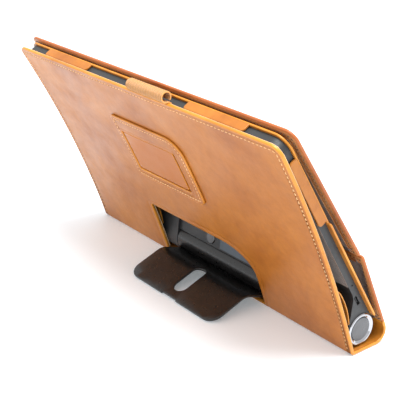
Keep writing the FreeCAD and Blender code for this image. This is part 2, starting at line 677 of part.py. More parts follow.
def build_spine():
    """Leather and board under the barrel, flat on the table and turned up at the front."""
    thick = dim("cover_thick")
    lean = math.radians(dim("lean_angle"))
    radius = 8.0
    rise = (COVER_BEND - COVER_FOOT).normalize()
    climb = math.atan2(rise.z, rise.y) - lean
    foot_forward = COVER_FOOT.y * math.cos(lean) + COVER_FOOT.z * math.sin(lean)
    foot_up = dim("floor_drop") - COVER_FOOT.y * math.sin(lean) + COVER_FOOT.z * math.cos(lean)
    turn_up = radius * (1 + math.cos(climb))
    turn_forward = -radius * math.sin(climb)
    centre = foot_forward - turn_forward - (foot_up - turn_up) / math.tan(climb)

    def turn(inset, angle):
        reach = radius - inset
        return from_floor(centre + reach * math.cos(angle), radius + reach * math.sin(angle))

    last = climb + math.pi / 2
    middle = (last + 1.5 * math.pi) / 2
    tip = on_panel(PANEL_FOOT.z, 0)
    tip_inside = on_panel(PANEL_FOOT.z, dim("board"))
    inner_foot = offset_point(COVER_FOOT, COVER_BEND, thick)
    outline = [line(tip, turn(0, 1.5 * math.pi)),
               arc(turn(0, 1.5 * math.pi), turn(0, middle), turn(0, last)),
               line(turn(0, last), COVER_FOOT), line(COVER_FOOT, inner_foot),
               line(inner_foot, turn(thick, last)),
               arc(turn(thick, last), turn(thick, middle), turn(thick, 1.5 * math.pi)),
               line(turn(thick, 1.5 * math.pi), from_floor(21.5, thick)),
               line(from_floor(21.5, thick), tip_inside), line(tip_inside, tip)]
    body = new_body("Spine")
    pad_across(body, "SpineBoard", outline, "Dims.case_width")
    keep(body, "spine")


def strip(start, end, near, far):
    """Side view of a straight sheet along a line, between two distances on the tablet's side."""
    corners = [offset_point(start, end, near), offset_point(start, end, near, True),
               offset_point(start, end, far, True), offset_point(start, end, far)]
    return [line(corners[i], corners[(i + 1) % 4]) for i in range(4)]


def build_cover():
    half = dim("case_width") / 2
    cloth = dim("lining")
    thick = dim("cover_thick")
    lower = new_body("CoverLower")
    pad_across(lower, "LowerBoard", strip(COVER_FOOT, COVER_BEND, 0, thick - cloth),
               "Dims.case_width")
    keep(lower, "cover_lower")
    lining = new_body("CoverLowerLining")
    pad_across(lining, "LowerCloth", strip(COVER_FOOT, COVER_BEND, thick - cloth, thick),
               "Dims.case_width - 2")
    keep(lining, "cover_lower_lining")
    crease = new_body("CoverCrease")
    pad_across(crease, "Crease", [
        line(offset_point(COVER_FOOT, COVER_BEND, 0.4, True), offset_point(FOLD, COVER_TOP, 0.2)),
        line(offset_point(FOLD, COVER_TOP, 0.2), offset_point(FOLD, COVER_TOP, 1.2)),
        line(offset_point(FOLD, COVER_TOP, 1.2), offset_point(COVER_FOOT, COVER_BEND, 1.4, True)),
        line(offset_point(COVER_FOOT, COVER_BEND, 1.4, True),
             offset_point(COVER_FOOT, COVER_BEND, 0.4, True))], "Dims.case_width - 1")
    keep(crease, "cover_crease")
    upper = new_body("CoverUpper")
    pad_across(upper, "UpperBoard", strip(FOLD, COVER_TOP, 0, thick - cloth), "Dims.case_width")
    trim_corners(upper, "CoverCorner", half, COVER_TOP.z, dim("case_radius"))
    cut_node("cover_upper", upper, magnet_shapes())
    feature("cover_magnets", Part.makeCompound(magnet_shapes()))
    lining = new_body("CoverUpperLining")
    pad_across(lining, "UpperCloth", strip(FOLD, COVER_TOP, thick - cloth, thick),
               "Dims.case_width - 2")
    trim_corners(lining, "CoverLiningCorner", half - 1, COVER_TOP.z - 0.8, dim("case_radius"))
    keep(lining, "cover_upper_lining")


FOLD = side(-8.7, 62.4)
COVER_TOP = side(-4.2, dim("case_height"))


def magnet_shapes():
    """Discs sunk in the cover's board near its free edge."""
    along = (COVER_TOP - FOLD).normalize()
    across = Vector(0, along.z, -along.y)
    base = COVER_TOP - along * 9 + across * 0.6
    return [rod(dim("magnet_radius"), base + Vector(x, 0, 0), across, dim("magnet_thick"))
            for x in (-116, -40, 40, 116)]


def build_holder():
    """Bezel, walls and flange that grip the tablet, left open for ports, barrel and pen loop."""
    wall = dim("holder_wall")
    grip = HALF_TABLET + 0.15
    outer = grip + wall
    bezel_back = FRONT - 0.05
    bezel_front = bezel_back - dim("bezel_thick")
    top = dim("tablet_top") + 0.15
    bezel_foot = 15.0
    frame = box_shape(-outer, outer, bezel_front, bezel_back, bezel_foot, top + wall)
    corners = [edge for edge in frame.Edges
               if abs(edge.BoundBox.YLength - dim("bezel_thick")) < 0.01
               and edge.BoundBox.ZMin > top]
    frame = frame.makeFillet(dim("slab_radius") + wall, corners)
    window = box_shape(-grip + dim("bezel_width"), grip - dim("bezel_width"),
                       bezel_front - 1, bezel_back + 1, bezel_foot + 12, top - dim("bezel_width"))
    frame = frame.cut(window)
    back_end = BACK + 0.45
    opening = dim("top_opening") / 2
    pieces = []
    for sign in (-1, 1):
        low_x, high_x = sorted((sign * (outer - 1), sign * EAR_END))
        ear = box_shape(low_x, high_x, bezel_front, bezel_back, bezel_foot, EAR_TOP)
        tip = [edge for edge in ear.Edges if abs(edge.BoundBox.YLength - dim("bezel_thick")) < 0.01
               and edge.BoundBox.ZMin > EAR_TOP - 1
               and abs(edge.BoundBox.XMin - sign * EAR_END) < 0.01]
        pieces.append(ear.makeFillet(EAR_ROUND, tip))
        low_x, high_x = sorted((sign * grip, sign * outer))
        pieces.append(box_shape(low_x, high_x, bezel_back - 0.4, back_end,
                                SIDE_WALL_LOW, SIDE_WALL_TOP))
        low_x, high_x = sorted((sign * opening, sign * FLANGE_END))
        pieces.append(box_shape(low_x, high_x, bezel_back - 0.4, back_end, top, top + wall))
    feature("holder_frame", frame.multiFuse(pieces))

    back = box_shape(-grip, grip, BACK + 0.1, BACK + 0.55, SHEET_LOW, top)
    back = back.cut(box_shape(-opening, opening, BACK, BACK + 1, 150, top + 1))
    back = back.cut(box_shape(STAND_RIGHT - 6, STAND_LEFT + 10, BACK, BACK + 1, SHEET_LOW - 1,
                              STAND_TOP + 3))
    for sign in (-1, 1):
        low_x, high_x = sorted((sign * BOARD_POCKET_HALF, sign * (grip + 1)))
        back = back.cut(box_shape(low_x, high_x, BACK, BACK + 1, SIDE_WALL_TOP, top + 1))
    feature("holder_back", back)

    flap = [arc(side(14.2, 52), side(14.5, 38), side(18.4, 24.5)),
            line(side(18.4, 24.5), side(17.7, 24.0)),
            arc(side(17.7, 24.0), side(13.7, 37.8), side(13.4, 52)),
            line(side(13.4, 52), side(14.2, 52))]
    cut_left = dim("cutout_centre") + dim("cutout_width") / 2 + 3
    cut_right = dim("cutout_centre") - dim("cutout_width") / 2 - 3
    feature("barrel_flaps", Part.makeCompound([solid_across(flap, -outer, cut_right),
                                               solid_across(flap, cut_left, outer)]))


def build_pen_loop():
    """An elastic tube for a pen above the tablet's top edge, on a tab behind the tablet."""
    low_x = dim("loop_centre") - dim("loop_length") / 2
    radius = dim("loop_radius")
    centre = Vector(low_x, BACK + 1.0, dim("case_height") + 0.3 + radius)
    tube = rod(radius, centre, AXIS_X, dim("loop_length"))
    tab = box_shape(low_x, low_x + dim("loop_length"), BACK + 0.1, BACK + 0.55,
                    151, centre.z)
    bore = rod(radius - dim("loop_wall"), Vector(low_x - 1, centre.y, centre.z), AXIS_X,
               dim("loop_length") + 2)
    feature("pen_loop", tube.fuse(tab).cut(bore))


SCREEN_FLOOR = FRONT + 1.9
RELEASE_DEPTH = 3.2
RELEASE_PROUD = 0.8
POCKET_GAP = 0.8
POCKET_DEPTH_GAP = 0.2
FLANGE_END = 103.0
EAR_END = 133.5
EAR_TOP = 98.0
EAR_ROUND = 1.7
CORNER_IN = 26.0
CORNER_DOWN = 18.0
TONGUE_GAP = 0.1
TONGUE_TOP = dim("tongue_bottom") + dim("tongue_height") - 0.2
TONGUE_FACE = -dim("tongue_thick") - TONGUE_GAP
PLATE_THICK = 0.4
SPRING_WALL = 0.6
PLATE_END = 0.6
STAND_WRAP = -62.0
SLEEVE_RADIUS = 10.4
SLEEVE_END = 156.0
SLEEVE_GAP = 0.2


def stand_opening():
    """Angle that brings the kickstand's far edge down to the table."""
    height = dim("floor_drop") + BARREL.z * math.cos(math.radians(dim("lean_angle"))) \
        - BARREL.y * math.sin(math.radians(dim("lean_angle")))
    reach = math.hypot(BACK - BARREL.y, dim("stand_length"))
    closed = math.degrees(math.atan2(dim("stand_length"), BACK - BARREL.y)) - dim("lean_angle")
    return closed + math.degrees(math.asin(height / reach))


STAND_OPEN = stand_opening()
SWUNG = FreeCAD.Placement(ORIGIN, FreeCAD.Rotation(AXIS_X, -STAND_OPEN), BARREL)

build_housing()
build_kickstand()
build_collars()
build_screen()
build_electronics()
build_barrel_ends()
build_small_controls()
build_back()
build_patch()
build_spine()
build_cover()
build_holder()
build_pen_loop()

# ---------------------------------------------------------------- centre, check and export
doc.recompute()
bounds = FreeCAD.BoundBox()
for node in nodes:
    bounds.add(node.Shape.BoundBox)
CENTRE = FreeCAD.Placement(Vector(-bounds.Center.x, -bounds.Center.y, -bounds.ZMin),
                           FreeCAD.Rotation())
for node in nodes:
    node.Placement = CENTRE.multiply(node.Placement)
doc.recompute()
for obj in doc.Objects:
    if "Invalid" in obj.State or "Error" in obj.State:
        raise RuntimeError("%s failed: %s" % (obj.Name, obj.State))
os.makedirs("parts", exist_ok=True)
for node in nodes:
    shape = node.Shape
    if shape.isNull() or not shape.isValid() or shape.Volume <= 0:
        raise RuntimeError(node.Label + " has no valid shape")
    shape.exportStep("parts/%s.step" % node.Label)
    print("%-22s solids %d  volume %.0f" % (node.Label, len(shape.Solids), shape.Volume))
print(len(nodes), "nodes, kickstand opened by %.2f degrees" % STAND_OPEN)
for name, point in (("barrel axis", BARREL), ("cover foot", COVER_FOOT), ("release", RELEASE_SPOT),
                    ("crease", (COVER_BEND + FOLD) * 0.5 + AXIS_Y), ("port", PORT),
                    ("tongue top", on_panel(TONGUE_TOP, TONGUE_FACE))):
    place = CENTRE.multiply(LEAN).multVec(point)
    print("%-12s y %.3f z %.3f" % (name, place.y, place.z))
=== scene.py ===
import bpy
import bmesh
import json
import math
from mathutils import Matrix, Vector


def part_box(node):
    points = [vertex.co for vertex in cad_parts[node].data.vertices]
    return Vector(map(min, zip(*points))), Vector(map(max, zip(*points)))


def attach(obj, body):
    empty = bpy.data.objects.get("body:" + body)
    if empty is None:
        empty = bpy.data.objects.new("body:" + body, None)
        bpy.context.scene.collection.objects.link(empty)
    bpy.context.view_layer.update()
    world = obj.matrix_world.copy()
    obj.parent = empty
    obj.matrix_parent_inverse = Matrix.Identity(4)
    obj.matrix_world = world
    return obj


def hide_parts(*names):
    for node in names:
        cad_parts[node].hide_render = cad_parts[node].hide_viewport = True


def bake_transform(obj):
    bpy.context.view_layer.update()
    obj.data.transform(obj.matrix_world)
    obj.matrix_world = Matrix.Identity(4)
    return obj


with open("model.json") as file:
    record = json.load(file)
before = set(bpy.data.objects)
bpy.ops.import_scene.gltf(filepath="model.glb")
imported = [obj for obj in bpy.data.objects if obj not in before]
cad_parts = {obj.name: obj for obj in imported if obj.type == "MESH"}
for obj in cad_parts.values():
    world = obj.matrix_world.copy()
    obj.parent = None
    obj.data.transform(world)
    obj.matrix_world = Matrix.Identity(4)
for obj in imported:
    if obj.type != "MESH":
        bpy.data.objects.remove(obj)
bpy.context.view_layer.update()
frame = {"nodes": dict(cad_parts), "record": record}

# ---------------------------------------------------------------- the leaning side view
# Pieces are laid out as the part is: x across, w from the screen to the back, u up the slab,
# in millimetres. place() leans them back and puts them in the row frame, in metres.

LEAN = math.radians(30.5)
BARREL_W, BARREL_U, BARREL_R = 11.5, 12.6, 10.5
ring_low, ring_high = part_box("end_ring_right")
barrel_axis = (ring_low + ring_high) / 2 * 1000
SHIFT_Y = barrel_axis.y - BARREL_W * math.cos(LEAN) - BARREL_U * math.sin(LEAN)
SHIFT_Z = barrel_axis.z + BARREL_W * math.sin(LEAN) - BARREL_U * math.cos(LEAN)
HALF_CASE = 134.0
CASE_TOP = 165.0
BOARD = 2.1


def place(x, w, u):
    """A row frame point, in metres, from a point laid out in millimetres."""
    y = w * math.cos(LEAN) + u * math.sin(LEAN) + SHIFT_Y
    z = -w * math.sin(LEAN) + u * math.cos(LEAN) + SHIFT_Z
    return Vector((x, y, z)) / 1000


def from_floor(forward, up):
    """Side-view point from its distance along the table and its height, before the shift."""
    rise = up - SHIFT_Z
    return Vector((forward * math.cos(LEAN) - rise * math.sin(LEAN),
                   forward * math.sin(LEAN) + rise * math.cos(LEAN)))


def circle_through(a, b, c):
    """Centre and radius of the circle through three side-view points."""
    d = 2 * (a.x * (b.y - c.y) + b.x * (c.y - a.y) + c.x * (a.y - b.y))
    x = (a.length_squared * (b.y - c.y) + b.length_squared * (c.y - a.y)
         + c.length_squared * (a.y - b.y)) / d
    y = (a.length_squared * (c.x - b.x) + b.length_squared * (a.x - c.x)
         + c.length_squared * (b.x - a.x)) / d
    centre = Vector((x, y))
    return centre, (a - centre).length


def arc_points(centre, radius, start, end, count):
    """Points on an arc, between two angles in degrees."""
    points = []
    for i in range(count + 1):
        angle = math.radians(start + (end - start) * i / count)
        points.append(Vector((centre[0] + radius * math.cos(angle),
                              centre[1] + radius * math.sin(angle))))
    return points


class Path:
    """A side-view line that a sheet follows. Its length is measured in millimetres."""

    def __init__(self, points):
        self.points = [Vector(p) for p in points]
        self.marks = [0.0]
        for a, b in zip(self.points, self.points[1:]):
            self.marks.append(self.marks[-1] + (b - a).length)
        self.length = self.marks[-1]
        joints = []
        for i in range(len(self.points)):
            a = self.points[max(i - 1, 0)]
            b = self.points[min(i + 1, len(self.points) - 1)]
            joints.append((b - a).normalized())
        self.ways = joints

    def at(self, s):
        """Point and outward direction, on the left of the way that the line runs."""
        s = min(max(s, 0.0), self.length)
        i = 0
        while i < len(self.marks) - 2 and self.marks[i + 1] < s:
            i += 1
        t = (s - self.marks[i]) / (self.marks[i + 1] - self.marks[i])
        point = self.points[i].lerp(self.points[i + 1], t)
        way = self.ways[i].lerp(self.ways[i + 1], t).normalized()
        return point, Vector((-way.y, way.x))

    def nearest(self, height):
        """Length along the line at which it first comes down to a height u."""
        for i, (a, b) in enumerate(zip(self.points, self.points[1:])):
            if min(a.y, b.y) <= height <= max(a.y, b.y) and abs(a.y - b.y) > 1e-9:
                t = (height - a.y) / (b.y - a.y)
                return self.marks[i] + t * (self.marks[i + 1] - self.marks[i])
        return self.length


# ---------------------------------------------------------------- sheets with soft edges

def turned(loop, anticlockwise):
    """The loop, running the way round that is asked for."""
    area = sum(a[0] * b[1] - b[0] * a[1] for a, b in zip(loop, loop[1:] + loop[:1]))
    return loop if (area > 0) == anticlockwise else loop[::-1]


def inset(loop, amount):
    """The loop moved to its left, into the sheet."""
    moved = []
    for i in range(len(loop)):
        here = Vector(loop[i])
        before = (here - Vector(loop[i - 1])).normalized()
        after = (Vector(loop[(i + 1) % len(loop)]) - here).normalized()
        side_a = Vector((-before.y, before.x))
        side_b = Vector((-after.y, after.x))
        share = max(0.4, 1 + side_a.dot(side_b))
        moved.append(here + (side_a + side_b) * (amount / share))
    return moved


def rounded(x0, x1, y0, y1, radii, steps=6):
    """A rectangle with a radius for each corner: low-low, high-low, high-high, low-high."""
    corners = [(x0, y0, 1, 1, 180), (x1, y0, -1, 1, 270), (x1, y1, -1, -1, 0), (x0, y1, 1, -1, 90)]
    points = []
    for (x, y, sx, sy, start), radius in zip(corners, radii):
        if radius < 0.05:
            points.append((x, y))
            continue
        for p in arc_points((x + sx * radius, y + sy * radius), radius, start, start + 90, steps):
            points.append((p.x, p.y))
    return points


def sheet(name, outer, surface, thick, holes=(), round_off=0.6, seam=0.0, groove=0.15,
          cuts_x=(), cuts_s=()):
    """A closed sheet with rounded rims, drawn flat as (x, s) and then put on a surface.

    surface(x, s, t) gives a row frame point, and t is the height above the inner face."""
    loops = [turned(list(outer), True)] + [turned(list(h), False) for h in holes]
    levels = []
    for angle in (0, 35, 65, 90):
        a = math.radians(angle)
        levels.append((round_off * (1 - math.sin(a)), round_off * (1 - math.cos(a))))
    levels += [(back, thick - rise) for back, rise in reversed(levels)]
    if seam:
        levels += [(seam - 0.9, thick), (seam - 0.3, thick - groove), (seam + 0.3, thick - groove),
                   (seam + 0.9, thick)]
    bm = bmesh.new()
    rim = bm.verts.layers.float.new("rim")
    rows = []
    for back, height in levels:
        row = []
        for loop in loops:
            made = [bm.verts.new((p[0], p[1], height)) for p in inset(loop, back)]
            for v in made:
                v[rim] = max(0.0, 1.0 - back / 4.0)
            row.append(made)
        rows.append(row)
    for k in range(len(rows) - 1):
        for low, high in zip(rows[k], rows[k + 1]):
            for i in range(len(low)):
                j = (i + 1) % len(low)
                face = bm.faces.new((low[i], low[j], high[j], high[i]))
                face.material_index = 1 if k < 7 else 0
    for row, index in ((rows[0], 2), (rows[-1], 0)):
        edges = []
        for made in row:
            for i in range(len(made)):
                pair = (made[i], made[(i + 1) % len(made)])
                edges.append(bm.edges.get(pair) or bm.edges.new(pair))
        filled = bmesh.ops.triangle_fill(bm, edges=edges, use_beauty=True, normal=(0, 0, 1))
        for item in filled["geom"]:
            if isinstance(item, bmesh.types.BMFace):
                item.material_index = index
    for axis, cuts in ((0, cuts_x), (1, cuts_s)):
        for cut in cuts:
            where = Vector((cut, 0, 0)) if axis == 0 else Vector((0, cut, 0))
            way = Vector((1, 0, 0)) if axis == 0 else Vector((0, 1, 0))
            bmesh.ops.bisect_plane(bm, geom=bm.verts[:] + bm.edges[:] + bm.faces[:],
                                   plane_co=where, plane_no=way, dist=1e-4)
    for v in bm.verts:
        x, s, t = v.co
        v.co = surface(x, s, t)
    bmesh.ops.recalc_face_normals(bm, faces=bm.faces[:])
    return finish_mesh(name, bm)


def finish_mesh(name, bm, sharp=38):
    """A smooth-shaded object made from ready geometry."""
    mesh = bpy.data.meshes.new(name)
    bm.to_mesh(mesh)
    bm.free()
    mesh.shade_smooth()
    mesh.set_sharp_from_angle(angle=math.radians(sharp))
    piece = bpy.data.objects.new(name, mesh)
    bpy.context.scene.collection.objects.link(piece)
    return piece


def along(path, thick, offset=0.0):
    """A surface for sheet(): a path's outer side, with the sheet's outer face offset from it."""
    def surface(x, s, t):
        point, out = path.at(s)
        place_at = point + out * (t - thick + offset)
        return place(x, place_at.x, place_at.y)
    return surface


def on_plane(w_outer, thick, outward=1):
    """A surface for sheet(): flat in the slab's plane, its outer face at w_outer."""
    def surface(x, s, t):
        return place(x, w_outer + outward * (t - thick), s)
    return surface


def steps(low, high, pitch):
    """Even places between two ends, about a pitch apart, for extra edges across a sheet."""
    count = max(1, round((high - low) / pitch))
    return [low + (high - low) * i / count for i in range(1, count)]


def stitches(name, lines, surface, height, pitch=3.1, length=2.2, radius=0.3):
    """Short threads laid end to end along lines of (x, s) points, dipping in at both ends."""
    bm = bmesh.new()
    rings = ((0.0, 0.35, -0.32), (0.15, 0.85, -0.05), (0.5, 1.0, 0.08), (0.85, 0.85, -0.05),
             (1.0, 0.35, -0.32))
    for points in lines:
        route = Path(points)
        count = int(route.length / pitch)
        for n in range(count):
            start = (n + 0.5) * route.length / count - length / 2
            previous = None
            for share, size, dip in rings:
                flat, out = route.at(start + share * length)
                ring = []
                for k in range(6):
                    angle = k * math.pi / 3
                    across = out * (math.cos(angle) * radius * size)
                    rise = height + dip * radius * 2 + math.sin(angle) * radius * size
                    ring.append(bm.verts.new(surface(flat.x + across.x, flat.y + across.y, rise)))
                if previous:
                    for k in range(6):
                        j = (k + 1) % 6
                        bm.faces.new((previous[k], previous[j], ring[j], ring[k]))
                else:
                    bm.faces.new(ring[::-1])
                previous = ring
            bm.faces.new(previous)
    bmesh.ops.recalc_face_normals(bm, faces=bm.faces[:])
    return finish_mesh(name, bm, 60)


# ---------------------------------------------------------------- materials

def new_material(name):
    mat = bpy.data.materials.new(name)
    mat.use_nodes = True
    tree = mat.node_tree
    shader = tree.nodes["Principled BSDF"]
    return mat, tree, shader


def add(tree, kind, **settings):
    node = tree.nodes.new(kind)
    for key, value in settings.items():
        if hasattr(node, key):
            setattr(node, key, value)
        else:
            node.inputs[key.replace("_", " ")].default_value = value
    return node


def noise_of(tree, where, scale, detail=3.0, rough=0.55):
    node = add(tree, "ShaderNodeTexNoise", Scale=scale, Detail=detail, Roughness=rough)
    tree.links.new(where, node.inputs["Vector"])
    return node.outputs["Fac"]


def ramp_of(tree, factor, stops):
    node = add(tree, "ShaderNodeValToRGB")
    ramp = node.color_ramp
    while len(ramp.elements) < len(stops):
        ramp.elements.new(0.5)
    for element, (position, colour) in zip(ramp.elements, stops):
        element.position = position
        element.color = (*colour, 1.0)
    tree.links.new(factor, node.inputs["Fac"])
    return node.outputs["Color"]


def spread(tree, factor, low, high):
    node = add(tree, "ShaderNodeMapRange")
    node.inputs["To Min"].default_value = low
    node.inputs["To Max"].default_value = high
    node.inputs["From Min"].default_value = 0.3
    node.inputs["From Max"].default_value = 0.7
    tree.links.new(factor, node.inputs["Value"])
    return node.outputs["Result"]


def bumped(tree, shader, layers):
    """Bumps stacked on each other: each layer is a height, a strength and a depth in metres."""
    normal = None
    for height, strength, depth in layers:
        node = add(tree, "ShaderNodeBump", Strength=strength, Distance=depth)
        tree.links.new(height, node.inputs["Height"])
        if normal is not None:
            tree.links.new(normal, node.inputs["Normal"])
        normal = node.outputs["Normal"]
    tree.links.new(normal, shader.inputs["Normal"])


def object_place(tree, scale=(1, 1, 1)):
    texture = add(tree, "ShaderNodeTexCoord")
    mapping = add(tree, "ShaderNodeMapping")
    mapping.inputs["Scale"].default_value = scale
    tree.links.new(texture.outputs["Object"], mapping.inputs["Vector"])
    return mapping.outputs["Vector"]


def leather(name, dark, middle, light, roughness=(0.3, 0.46), grain=0.6, edge=None):
    """Waxed hide: soft clouds of colour, fine pebble grain, faint creases and a waxy gloss."""
    mat, tree, shader = new_material(name)
    where = object_place(tree)
    clouds = noise_of(tree, where, 16, 4, 0.62)
    colour = ramp_of(tree, clouds, [(0.3, dark), (0.5, middle), (0.72, light)])
    mottle = noise_of(tree, where, 240, 3)
    mix = add(tree, "ShaderNodeMix", data_type="RGBA", blend_type="MULTIPLY")
    mix.inputs[0].default_value = 0.4
    tree.links.new(colour, mix.inputs[6])
    tree.links.new(ramp_of(tree, mottle, [(0.3, (0.72, 0.68, 0.62)), (0.62, (1, 1, 1))]),
                   mix.inputs[7])
    result = mix.outputs[2]
    if edge:
        rim = add(tree, "ShaderNodeAttribute", attribute_name="rim")
        power = add(tree, "ShaderNodeMath", operation="POWER")
        power.inputs[1].default_value = 2.2
        tree.links.new(rim.outputs["Fac"], power.inputs[0])
        blend = add(tree, "ShaderNodeMix", data_type="RGBA", blend_type="MIX")
        blend.inputs[7].default_value = (*edge, 1)
        tree.links.new(power.outputs[0], blend.inputs[0])
        tree.links.new(result, blend.inputs[6])
        result = blend.outputs[2]
    tree.links.new(result, shader.inputs["Base Color"])
    tree.links.new(spread(tree, noise_of(tree, where, 70, 4), *roughness),
                   shader.inputs["Roughness"])
    cells = add(tree, "ShaderNodeTexVoronoi", Scale=1150.0, Randomness=1.0)
    cells.feature = "F1"
    tree.links.new(where, cells.inputs["Vector"])
    bumped(tree, shader, [(noise_of(tree, where, 45, 5), 0.35, 0.0009),
                          (noise_of(tree, where, 700, 3), 0.25 * grain, 0.00025),
                          (cells.outputs["Distance"], 0.22 * grain, 0.00018)])
    shader.inputs["Specular IOR Level"].default_value = 0.35
    shader.inputs["Coat Weight"].default_value = 0.1
    shader.inputs["Coat Roughness"].default_value = 0.28
    return mat


def cloth(name, dark, light, scale=900, sheen=0.5):
    """Short-pile suede cloth: fibres, patchy nap and sheen."""
    mat, tree, shader = new_material(name)
    where = object_place(tree)
    colour = ramp_of(tree, noise_of(tree, where, 60, 5, 0.7), [(0.3, dark), (0.7, light)])
    tree.links.new(colour, shader.inputs["Base Color"])
    tree.links.new(spread(tree, noise_of(tree, where, 120, 3), 0.82, 0.97),
                   shader.inputs["Roughness"])
    bumped(tree, shader, [(noise_of(tree, where, scale, 5, 0.7), 0.6, 0.0004)])
    shader.inputs["Sheen Weight"].default_value = sheen
    shader.inputs["Sheen Roughness"].default_value = 0.5
    return mat


def plain(name, dark, light, roughness, metallic=0.0, grain=1500, height=0.00006, coat=0.0,
          stretch=(1, 1, 1), clouds=40):
    """Plastic, paint or metal: slight colour drift, grain or turning marks, uneven gloss."""
    mat, tree, shader = new_material(name)
    where = object_place(tree)
    fine = object_place(tree, stretch)
    tree.links.new(ramp_of(tree, noise_of(tree, where, clouds, 4), [(0.3, dark), (0.7, light)]),
                   shader.inputs["Base Color"])
    tree.links.new(spread(tree, noise_of(tree, fine, grain / 4, 3), *roughness),
                   shader.inputs["Roughness"])
    bumped(tree, shader, [(noise_of(tree, fine, grain, 2), 0.35, height)])
    shader.inputs["Metallic"].default_value = metallic
    shader.inputs["Coat Weight"].default_value = coat
    return mat


def ribbed(name, dark, light, pitch):
    """Woven elastic: ribs round the loop with a fine weave between them."""
    mat, tree, shader = new_material(name)
    where = object_place(tree)
    wave = add(tree, "ShaderNodeTexWave", Scale=1 / pitch, Distortion=0.3)
    wave.bands_direction = "X"
    tree.links.new(where, wave.inputs["Vector"])
    # The colour follows the ribs' bump: darker in the grooves between ribs as painted shade, and
    # lighter on their crests as a painted highlight.
    tree.links.new(ramp_of(tree, wave.outputs["Fac"], [(0.1, dark), (0.6, light)]),
                   shader.inputs["Base Color"])
    tree.links.new(spread(tree, noise_of(tree, where, 300, 3), 0.6, 0.8),
                   shader.inputs["Roughness"])
    bumped(tree, shader, [(wave.outputs["Fac"], 0.7, 0.0004),
                          (noise_of(tree, where, 2200, 2), 0.3, 0.0001)])
    shader.inputs["Sheen Weight"].default_value = 0.3
    return mat


case_leather = leather("case_leather", (0.33, 0.095, 0.010), (0.42, 0.138, 0.017),
                       (0.50, 0.18, 0.027), edge=(0.42, 0.12, 0.010))
cover_leather = leather("cover_leather", (0.28, 0.078, 0.010), (0.35, 0.105, 0.015),
                        (0.43, 0.14, 0.022), edge=(0.25, 0.06, 0.008))
inner_leather = leather("inner_leather", (0.36, 0.11, 0.010), (0.45, 0.155, 0.016),
                        (0.53, 0.20, 0.024), roughness=(0.34, 0.5))
# Edge paint on the rims, lighter and more orange than the hide: the paint's own colour, with a
# painted highlight added for the strong light that upward edges catch.
edge_paint_and_highlight = leather("edge_paint_and_highlight", (0.52, 0.18, 0.018), (0.64, 0.25, 0.026), (0.74, 0.32, 0.038),
                     roughness=(0.28, 0.4), grain=0.25)
cover_edge = leather("cover_edge", (0.34, 0.085, 0.017), (0.42, 0.115, 0.024),
                     (0.50, 0.15, 0.034), roughness=(0.35, 0.5), grain=0.3)
# Cream for the rims of the dark back lining: a painted highlight where the lit inner face of the
# lining shows at the cut-out.
lining_rim_highlight = leather("lining_rim_highlight", (0.62, 0.42, 0.24), (0.74, 0.53, 0.32), (0.82, 0.62, 0.4),
                     roughness=(0.45, 0.6), grain=0.4)
border_leather = leather("border_leather", (0.40, 0.17, 0.06), (0.49, 0.22, 0.08),
                         (0.57, 0.28, 0.115), roughness=(0.4, 0.55))
suede = cloth("lining_cloth", (0.085, 0.045, 0.025), (0.15, 0.085, 0.05))
thread = cloth("thread", (0.78, 0.42, 0.17), (0.93, 0.62, 0.33), 2400, 0.2)
dark_thread = cloth("dark_thread", (0.12, 0.06, 0.03), (0.2, 0.11, 0.06), 2400, 0.2)
elastic = ribbed("elastic", (0.42, 0.17, 0.035), (0.78, 0.36, 0.09), 0.0011)

finishes = {
    "housing_shell": plain("housing_shell", (0.022, 0.023, 0.024), (0.034, 0.035, 0.037),
                           (0.42, 0.58), grain=2600, height=0.00008),
    "stand_metal": plain("stand_metal", (0.008, 0.0075, 0.0075), (0.013, 0.012, 0.012),
                         (0.26, 0.36), metallic=0.1, grain=1800, height=0.00004, coat=0.2),
    "hinge_steel": plain("hinge_steel", (0.02, 0.02, 0.021), (0.035, 0.035, 0.036),
                         (0.45, 0.6), 0.3),
    "screen_glass": plain("screen_glass", (0.004, 0.004, 0.005), (0.008, 0.008, 0.01),
                          (0.03, 0.06), coat=1.0, height=0.000002),
    "screen_panel": plain("screen_panel", (0.01, 0.01, 0.012), (0.02, 0.02, 0.024), (0.3, 0.4)),
    "circuit_board": plain("circuit_board", (0.01, 0.07, 0.03), (0.02, 0.12, 0.05), (0.3, 0.4)),
    "black_plastic": plain("black_plastic", (0.012, 0.012, 0.013), (0.022, 0.022, 0.024),
                           (0.4, 0.55)),
    "cell_wrap": plain("cell_wrap", (0.02, 0.05, 0.14), (0.04, 0.08, 0.2), (0.35, 0.45)),
    "polished_ring": plain("polished_ring", (0.36, 0.36, 0.38), (0.48, 0.48, 0.5),
                           (0.06, 0.14), 1.0, height=0.00001),
    "button_metal": plain("button_metal", (0.10, 0.10, 0.103), (0.15, 0.15, 0.155),
                          (0.26, 0.4), 1.0, grain=900, height=0.00005),
    "spring_steel": plain("spring_steel", (0.5, 0.5, 0.5), (0.62, 0.62, 0.62), (0.2, 0.35), 1.0),
    "plate_grey": plain("plate_grey", (0.075, 0.095, 0.115), (0.11, 0.13, 0.155), (0.4, 0.55)),
    "magnet": plain("magnet", (0.6, 0.6, 0.62), (0.7, 0.7, 0.72), (0.2, 0.3), 1.0),
}
slots_of = {p["node"]: p["material_slot"] for p in frame["record"]["subparts"]}
for node_name, node in frame["nodes"].items():
    finish = finishes.get(slots_of.get(node_name))
    if finish:
        for material_slot in node.material_slots:
            material_slot.material = finish


def dress(piece, materials, body, nodes=()):
    """Give a piece its materials, the body that it rides on and the CAD nodes it stands for."""
    for mat in materials:
        piece.data.materials.append(mat)
    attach(piece, body)
    if nodes:
        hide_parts(*nodes)
    return piece


# ---------------------------------------------------------------- back panel and spine

